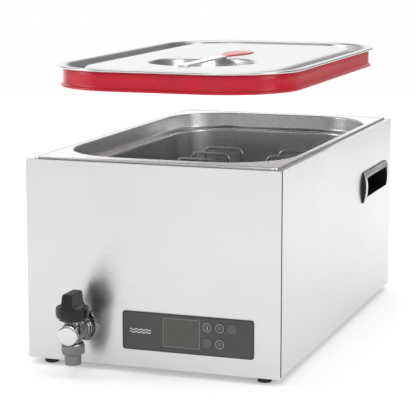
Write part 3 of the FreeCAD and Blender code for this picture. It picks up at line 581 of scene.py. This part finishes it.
def build_tap():
    """Chromed body of barrel, chamber and hexagon collar, with its end cap, spout and knob."""
    knob_low, knob_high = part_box("tap_knob")
    x, stem_y = (knob_low.x + knob_high.x) / 2, (knob_low.y + knob_high.y) / 2
    cap_low, cap_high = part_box("tap_end_cap")
    wall_place = (x, FRONT, (cap_low.z + cap_high.z) / 2)
    settle(lathe("tap_wall_rosette", wall_place, FORWARD, ROSETTE, 96, closed_ring=True),
           "tap_rosette")
    softened("tap_nut", 0.8 * MM)

    barrel = lathe("barrel", wall_place, FORWARD, BARREL, 96)
    chamber = lathe("chamber", (x, stem_y, 0), UP, CHAMBER, 72)
    collar_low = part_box("tap_body")[0].z
    collar = skin("collar", [hexagon(x, stem_y, collar_low + rise, COLLAR_RADIUS * size)
                             for size, rise in COLLAR], caps=(True, True))
    edge = collar.modifiers.new("Round", "BEVEL")
    edge.width = 0.5 * MM
    edge.segments = 3
    edge.angle_limit = math.radians(20)
    apply_modifiers(collar)
    settle(sharpen(joined("tap_chrome_body", [barrel, chamber, collar]), 28), "tap_body")

    # The end cap takes the lighter chrome copy, a painted bright reflection.
    settle(lathe("tap_round_cap", wall_place, FORWARD, END_CAP, 96), "tap_end_cap",
           material=CHROME_CAP_PAINTED_HIGHLIGHT)
    softened("tap_gland", 0.5 * MM)
    spout_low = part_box("tap_spout")[0]
    settle(lathe("tap_chrome_spout", (x, stem_y, spout_low.z), UP, SPOUT, 96, closed_ring=True),
           "tap_spout")
    build_knob(x, stem_y, knob_low.z, knob_high.z)


def build_knob(x, y, bottom, top):
    """Moulded knob: a round skirt with a wing left standing between two thumb scoops."""
    skirt = lathe("skirt", (x, y, 0), UP,
                  [(radius, bottom + rise) for radius, rise in KNOB_SKIRT], 96)
    rows = [(reach, half, bottom + rise) for reach, half, rise in WING_FOOT]
    rows += [(reach, half, top - drop) for reach, half, drop in WING_CROWN]
    turns = [2 * math.pi * index / 96 for index in range(96)]
    loops = [[Vector((x + max(-half, min(half, reach * math.cos(turn))),
                      y + reach * math.sin(turn), level)) for turn in turns]
             for reach, half, level in rows]
    wing = skin("wing", loops, caps=(True, True))
    knob = joined("tap_winged_knob", [skirt, wing])
    fuse = knob.modifiers.new("Fuse", "REMESH")
    fuse.mode = "VOXEL"
    fuse.voxel_size = 0.55 * MM
    relax = knob.modifiers.new("Relax", "SMOOTH")
    relax.factor = 0.5
    relax.iterations = 6
    apply_modifiers(knob)
    for face in knob.data.polygons:
        face.use_smooth = True
    settle(knob, "tap_knob")


# ---- key panel ---------------------------------------------------------------------------------

def ribbon(name, points, width, level, closed=False):
    """A flat printed stroke on the front plane; points are (x, z)."""
    bm = bmesh.new()
    section = ((1, level), (-1, level),
               (-1, level + PRINT_THICKNESS), (1, level + PRINT_THICKNESS))
    rows = []
    count = len(points)
    for index, (px, pz) in enumerate(points):
        before = points[index - 1] if index or closed else points[index]
        after = points[(index + 1) % count] if index < count - 1 or closed else points[index]
        run = Vector((after[0] - before[0], after[1] - before[1])).normalized()
        side = Vector((-run.y, run.x)) * width / 2
        rows.append([bm.verts.new((px + sign * side.x, y, pz + sign * side.y))
                     for sign, y in section])
    pairs = list(zip(rows, rows[1:]))
    if closed:
        pairs.append((rows[-1], rows[0]))
    else:
        bm.faces.new(rows[0])
        bm.faces.new(rows[-1])
    for low, high in pairs:
        for index in range(4):
            after = (index + 1) % 4
            bm.faces.new((low[index], low[after], high[after], high[index]))
    return mesh_object(name, bm, smooth=False)


def arc_points(cx, cz, radius, start, end, steps):
    """Points (x, z) along an arc from start to end, in degrees."""
    turns = [math.radians(start + (end - start) * k / steps) for k in range(steps + 1)]
    return [(cx + radius * math.cos(turn), cz + radius * math.sin(turn)) for turn in turns]


def key_symbol(key, x, z, level):
    """Generic symbols: thermometer, up, power, clock and down."""
    thin, thick = 0.7 * MM, 1.0 * MM
    if key == "key_heat":
        bulb = arc_points(x, z - 1.6 * MM, 0.75 * MM, 0, 345, 14)
        return [ribbon("s", [(x, z - 0.4 * MM), (x, z + 2.6 * MM)], thick, level),
                ribbon("s", bulb, thick, level, True)]
    if key == "key_power":
        return [ribbon("s", arc_points(x, z, 2.2 * MM, 125, 415, 20), thin, level),
                ribbon("s", [(x, z + 0.4 * MM), (x, z + 2.9 * MM)], thin, level)]
    if key == "key_timer":
        hands = [(x, z + 1.8 * MM), (x, z), (x + 1.3 * MM, z - 0.6 * MM)]
        return [ribbon("s", arc_points(x, z, 2.5 * MM, 0, 346, 24), thin, level, True),
                ribbon("s", hands, thin, level)]
    way = 1 if key == "key_up" else -1
    arrow = [(x - 2.2 * MM, z - way * 1.2 * MM), (x + 2.2 * MM, z - way * 1.2 * MM),
             (x, z + way * 2.2 * MM)]
    return [ribbon("s", arrow, thin, level, True)]


def build_keys():
    """Five flush keys, each with a printed ring and symbol that move with it."""
    for key in ("key_heat", "key_up", "key_power", "key_timer", "key_down"):
        low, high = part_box(key)
        x, z = (low.x + high.x) / 2, (low.z + high.z) / 2
        softened(key, 0.25 * MM, 2)
        level = low.y - PRINT_LIFT
        ring = ribbon("ring", arc_points(x, z, 5.35 * MM, 0, 352.5, 47), 0.8 * MM, level, True)
        ink = FAINT_PRINT if key in ("key_power", "key_timer") else PRINT
        settle(joined(key + "_print", [ring, *key_symbol(key, x, z, level)]), key,
               replace=False, material=ink)


def outline_ring(name, low, high, inset, width, radius, level):
    """A thin raised border just inside a rectangle on the front plane."""
    cx, cz = (low.x + high.x) / 2, (low.z + high.z) / 2
    half_x = (high.x - low.x) / 2 - inset - width / 2
    half_z = (high.z - low.z) / 2 - inset - width / 2
    flat = rounded_loop(half_x, half_z, radius, 0.0, (cx, cz), arc=6, side=2)
    return ribbon(name, [(point.x, point.y) for point in flat], width, level, True)


def build_panel():
    """Film overlay with a dark border, the display window, and a mark of two waves."""
    softened("control_overlay", 0.35 * MM, 2)
    low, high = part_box("control_overlay")
    level = low.y - PRINT_LIFT
    border = outline_ring("overlay_border", low, high, 0.3 * MM, 1.1 * MM, 2.8 * MM, level)
    settle(border, "control_overlay", replace=False, material=EDGE)
    screen_low, screen_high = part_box("display_window")
    softened("display_window", 0.2 * MM, 2)
    rim = outline_ring("screen_border", screen_low, screen_high, 0.5 * MM, 0.9 * MM, 1.0 * MM,
                       screen_low.y - PRINT_LIFT)
    settle(rim, "display_window", replace=False, material=FAINT_PRINT)
    x0, z0 = low.x + 10 * MM, (low.z + high.z) / 2
    waves = []
    for shift in (-1.7, 1.7):
        line = [(x0 + k * MM * 0.8, z0 + shift * MM + 0.85 * MM * math.sin(k * 0.75))
                for k in range(36)]
        waves.append(ribbon("wave", line, 0.9 * MM, level))
    settle(joined("overlay_wave_mark", waves), "control_overlay", replace=False,
           material=WHITE_PRINT)


# ---- the rest of the casing --------------------------------------------------------------------

def build_casing():
    """Sheet edges, mouldings and small hardware: the CAD shapes with rounded edges."""
    softened("casing_wrap", 0.7 * MM)
    softened("front_panel", 0.9 * MM, 4)
    softened("base_plate", 0.3 * MM, 2)
    softened("rubber_feet", 0.9 * MM)
    for name in ("handle_bezel_left", "handle_bezel_right"):
        softened(name, 0.35 * MM)
    for name in ("handle_cup_left", "handle_cup_right"):
        softened(name, 1.0 * MM)
    for name in ("power_inlet", "limit_switch_nut", "inlet_screws", "casing_screws",
                 "reset_button", "tap_knob_screw"):
        softened(name, 0.3 * MM, 2)


def build_seam_shade_strips():
    """Dark strips in the gap between the front panel and each side: painted shade for the seam's
    shadow.
    """
    width = 4.2 * MM
    near = panel_high.y - 1.7 * MM
    low, high = casing_low.z + 2 * MM, casing_high.z - 1.5 * MM
    shade_strips = []
    for side in SIDES:
        outer = side * (panel_high.x + 0.06 * MM)
        inner = side * (panel_high.x - 0.6 * MM)
        left, right = sorted((outer, inner))
        bm = bmesh.new()
        bmesh.ops.create_cube(bm, size=1.0)
        bmesh.ops.scale(bm, verts=bm.verts, vec=(right - left, width, high - low))
        bmesh.ops.translate(bm, verts=bm.verts,
                            vec=((left + right) / 2, near + width / 2, (low + high) / 2))
        shade_strips.append(mesh_object("strip", bm, smooth=False))
    seam_shade = joined("casing_seam_painted_shade", shade_strips)
    # Black strips stand in for the shadow that falls in the seam gap.
    paint(seam_shade, LOOKS["black_rubber"])
    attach(seam_shade, BODY_OF["front_panel"])


def paint_cad_nodes():
    """Every CAD node gets the look of its material slot."""
    for name, obj in frame["nodes"].items():
        paint(obj, LOOKS[SLOT_OF[name]])


# ---- studio ------------------------------------------------------------------------------------

DIM = 0.24                   # strength of the studio's walls where nothing glows
GLOWS = [                    # direction, cosine where it starts, cosine where it is full, amount
    ((-0.45, 0.88, 0.10), 0.72, 0.97, 1.05), ((0.10, -1.0, 0.12), 0.60, 0.95, 0.45),
    ((-1.0, -0.15, 0.25), 0.80, 0.96, 0.65), ((1.0, -0.35, 0.3), 0.86, 0.97, 0.4)]
FLOOR_RADIUS = 3.2
FLOOR_GLOW = {"From Min": 0.35, "From Max": 1.5,      # distances from the middle
              "To Min": 0.25, "To Max": 0.60}         # strengths there


def build_floor():
    """A round pale table that glows faintly near the object, which lightens its shadow there, and
    glows white towards its edge.
    """
    bm = bmesh.new()
    bmesh.ops.create_circle(bm, cap_ends=True, segments=96, radius=FLOOR_RADIUS)
    bmesh.ops.translate(bm, verts=bm.verts, vec=(0, 0, -0.2 * MM))
    floor = mesh_object("studio_floor", bm, smooth=False)
    material = new_material("StudioFloor", grey(0.9), 0.0, 0.75)
    nodes, links = material.node_tree.nodes, material.node_tree.links
    place = nodes.new("ShaderNodeTexCoord")
    distance = nodes.new("ShaderNodeVectorMath")
    distance.operation = "LENGTH"
    links.new(place.outputs["Object"], distance.inputs[0])
    spread = nodes.new("ShaderNodeMapRange")
    spread.interpolation_type = "SMOOTHSTEP"
    for socket, value in FLOOR_GLOW.items():
        spread.inputs[socket].default_value = value
    links.new(distance.outputs["Value"], spread.inputs["Value"])
    shader = nodes["Principled BSDF"]
    shader.inputs["Emission Color"].default_value = (1, 1, 1, 1)
    # The faint glow near the object is painted light that lightens the object's shadow on the
    # table.
    links.new(spread.outputs["Result"], shader.inputs["Emission Strength"])
    paint(floor, material)


def world_glow(tree, direction, start, full, amount):
    """Light from around one direction, from the cosine where it starts to where it is full."""
    nodes, links = tree.nodes, tree.links
    place = nodes.new("ShaderNodeTexCoord")
    along = nodes.new("ShaderNodeVectorMath")
    along.operation = "DOT_PRODUCT"
    along.inputs[1].default_value = Vector(direction).normalized()
    links.new(place.outputs["Generated"], along.inputs[0])
    lobe = nodes.new("ShaderNodeMapRange")
    lobe.interpolation_type = "SMOOTHSTEP"
    lobe.inputs["From Min"].default_value = start
    lobe.inputs["From Max"].default_value = full
    lobe.inputs["To Max"].default_value = amount
    links.new(along.outputs["Value"], lobe.inputs["Value"])
    return lobe.outputs["Result"]


def build_world():
    """White to the eye; to reflections a dim studio with glowing walls on four sides."""
    world = bpy.data.worlds.new("Studio")
    bpy.context.scene.world = world
    world.use_nodes = True
    tree = world.node_tree
    nodes, links = tree.nodes, tree.links
    nodes.clear()
    total = None
    for direction, start, full, amount in GLOWS:
        glow = world_glow(tree, direction, start, full, amount)
        add = nodes.new("ShaderNodeMath")
        add.operation = "ADD"
        links.new(glow, add.inputs[0])
        if total is None:
            add.inputs[1].default_value = DIM
        else:
            links.new(total, add.inputs[1])
        total = add.outputs["Value"]
    eye = nodes.new("ShaderNodeLightPath")
    blend = nodes.new("ShaderNodeMix")
    links.new(eye.outputs["Is Camera Ray"], blend.inputs["Factor"])
    links.new(total, blend.inputs["A"])
    blend.inputs["B"].default_value = 1.0
    back = nodes.new("ShaderNodeBackground")
    back.inputs["Color"].default_value = (1, 1, 1, 1)
    links.new(blend.outputs["Result"], back.inputs["Strength"])
    result = nodes.new("ShaderNodeOutputWorld")
    links.new(back.outputs["Background"], result.inputs["Surface"])


def area_light(name, place, target, size, power):
    """A soft box of (width, height) in metres, turned to its target; power in watts."""
    data = bpy.data.lights.new(name, "AREA")
    data.shape = "RECTANGLE"
    data.size, data.size_y = size
    data.energy = power
    light = linked(name, data)
    light.location = place
    light.rotation_euler = (Vector(target) - Vector(place)).to_track_quat("-Z", "Y").to_euler()


def build_lights():
    """Four soft boxes: one overhead, and one each to the left, right and front."""
    area_light("overhead", (0.1, 0.3, 3.0), (0, 0, 0), (3.6, 3.6), 60)
    area_light("left_box", (-2.2, -1.0, 1.3), (0, 0, 0.15), (0.7, 1.4), 14)
    area_light("right_box", (2.4, -0.3, 1.2), (0, 0, 0.15), (0.7, 1.4), 12)
    area_light("front_box", (0.2, -3.0, 1.9), (0, 0, 0.1), (1.4, 0.6), 14)


def build_camera():
    """A long lens, low and to the right of the front, level from side to side."""
    data = bpy.data.cameras.new("Camera")
    data.sensor_width = 36.0
    data.lens = 140.7
    look_down, swing = 9.87, 19.24
    camera = linked("Camera", data)
    camera.location = (0.7140, MIDDLE - 2.1199, panel_low.z + 0.5445)
    camera.rotation_euler = (math.radians(90 - look_down), 0.0, math.radians(swing))
    bpy.context.scene.camera = camera


build_camera()
build_casing()
build_tank()
build_lid()
build_rack()
build_tap()
build_keys()
build_panel()
build_seam_shade_strips()
paint_cad_nodes()
build_floor()
build_world()
build_lights()
bpy.context.scene.view_settings.view_transform = "Standard"
